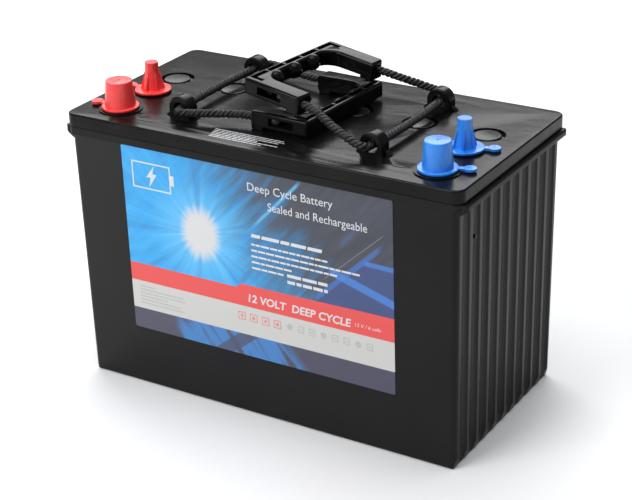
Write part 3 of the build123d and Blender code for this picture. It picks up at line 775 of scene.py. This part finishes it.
words("title_upper", "Deep Cycle Battery", *at(-5.5, 181.3), 6.3, white_ink, stretch=0.97)
words("title_lower", "Sealed and Rechargeable", *at(11.0, 168.8), 6.3, white_ink, stretch=0.9)
words("rating", "12 VOLT  DEEP CYCLE", *at(-10.5, 93.6), 6.0, white_ink, slant=0.12, stretch=1.02, weight=0.22)
words("rating_note", "12 V / 6 cells", *at(78.5, 95.2), 2.6, white_ink, slant=0.2, stretch=1.1)
print("lettering done")

# %% [markdown]
# The small print is rows of word-long bars. Their lengths come from a seeded random generator, so
# they look like writing and are the same on every run. The only picture is the usual sign for a
# battery: an outline lying on its side with a knob at one end, and an upright bolt inside it.

# %% Small print and signs
def print_rows(rows, height, seed, slant=0.0):
    """Word bars for rows of (left, right, base), with gaps of about one letter between words."""
    chance, bars = np.random.default_rng(seed), []
    for left, right, base in rows:
        start = left
        while start < right - 1.5:
            stop = min(start + chance.uniform(2.4, 9.0) * height / 1.6, right)
            lean = slant * height
            bars.append([(start, base), (stop, base), (stop + lean, base + height), (start + lean, base + height)])
            start = stop + 0.75 * height / 1.6
    return bars


def frame_bars(left, base, width, height, line):
    """The four sides of an open rectangle."""
    right, top = left + width, base + height
    return [[(left, base), (right, base), (right, base + line), (left, base + line)],
            [(left, top - line), (right, top - line), (right, top), (left, top)],
            [(left, base + line), (left + line, base + line), (left + line, top - line), (left, top - line)],
            [(right - line, base + line), (right, base + line), (right, top - line), (right - line, top - line)]]


def round_outline(cx, cz, radius, count=20):
    """Corners of a circle."""
    turn = np.linspace(0, 2 * np.pi, count, endpoint=False)
    return np.c_[cx + radius * np.cos(turn), cz + radius * np.sin(turn)].tolist()


address = [(*at(left, base), at(right, base)[0]) for left, right, base in (
    (-4.0, 58.5, 139.2), (-4.2, 84.5, 134.6), (-4.4, 66.0, 130.0), (-4.4, 30.0, 125.4), (-4.4, 22.0, 120.8))]
plates("maker_lines", print_rows([(left, right, base) for left, base, right in address], 1.5, 3), white_ink)
heading = [(*at(-4.0, 145.6), at(54, 145.6)[0])]
plates("heading_bar", print_rows([(left, right, base) for left, base, right in heading], 2.6, 8, 0.25), white_ink)
numbers = [(*at(left, base), at(right, base)[0]) for left, right, base in ((25, 58, 120.6), (25, 58, 115.6))]
plates("number_lines", print_rows([(left, right, base) for left, base, right in numbers], 2.4, 5), white_ink)
notes = [(*at(-106.5, base), at(right, base)[0]) for base, right in (
    (83.6, -92), (80.8, -67), (78.0, -66), (75.2, -82), (72.4, -70), (69.6, -67))]
plates("note_lines", print_rows([(left, right, base) for left, base, right in notes], 1.1, 11), grey_ink)
bolt = [at(*corner) for corner in ((-85.2, 184.0), (-86.7, 177.6), (-83.1, 177.6), (-90.3, 167.0), (-88.6, 174.6),
                                   (-92.4, 174.6))]
plates("bolt_sign", [bolt], white_ink)
cell = frame_bars(*at(-105.0, 165.0), 34, 21, 1.1)
cell += [[at(-71.0, 171.5), at(-68.2, 171.5), at(-68.2, 179.5), at(-71.0, 179.5)]]
plates("cell_sign", cell, white_ink)
signs = []
for column in range(4):
    cx, cz = at(-15.4 + 10.1 * column, 80.6)
    signs += frame_bars(cx - 3.2, cz - 3.2, 6.4, 6.4, 0.7) + [round_outline(cx, cz, 1.2 + 0.15 * (column % 2))]
plates("red_signs", signs, red_ink)
signs = []
for column in range(8):
    cx, cz = at(25.4 + 9.35 * column, 81.2)
    signs += frame_bars(cx - 2.6, cz - 2.8, 5.2, 5.6, 0.8) if column % 3 else [round_outline(cx, cz, 2.7, 6)]
    if column % 3:
        signs.append([(cx - 1.1, cz - 0.5), (cx + 1.1, cz - 0.5), (cx + 1.1, cz + 0.5), (cx - 1.1, cz + 0.5)])
plates("grey_signs", signs, grey_ink)

# %% [markdown]
# ## Print on the lid
# A block of small white print lies on the lid in front of the handles, on the top face. It is made
# like the small print of the label.

# %% Lid print
LID_TOP_Z = 213.0 * MM
LID_FACE = Matrix.Translation((0, 0, LID_TOP_Z))
lid_rows = [(-44.0 + 0.6 * row, right, base) for row, (right, base) in enumerate((
    (13.0, -60.0), (15.0, -62.6), (13.5, -65.2), (-2.0, -67.8), (14.0, -70.4), (4.0, -73.0)))]
plates("lid_print", print_rows(lid_rows, 0.95, 21), white_ink, face=LID_FACE)
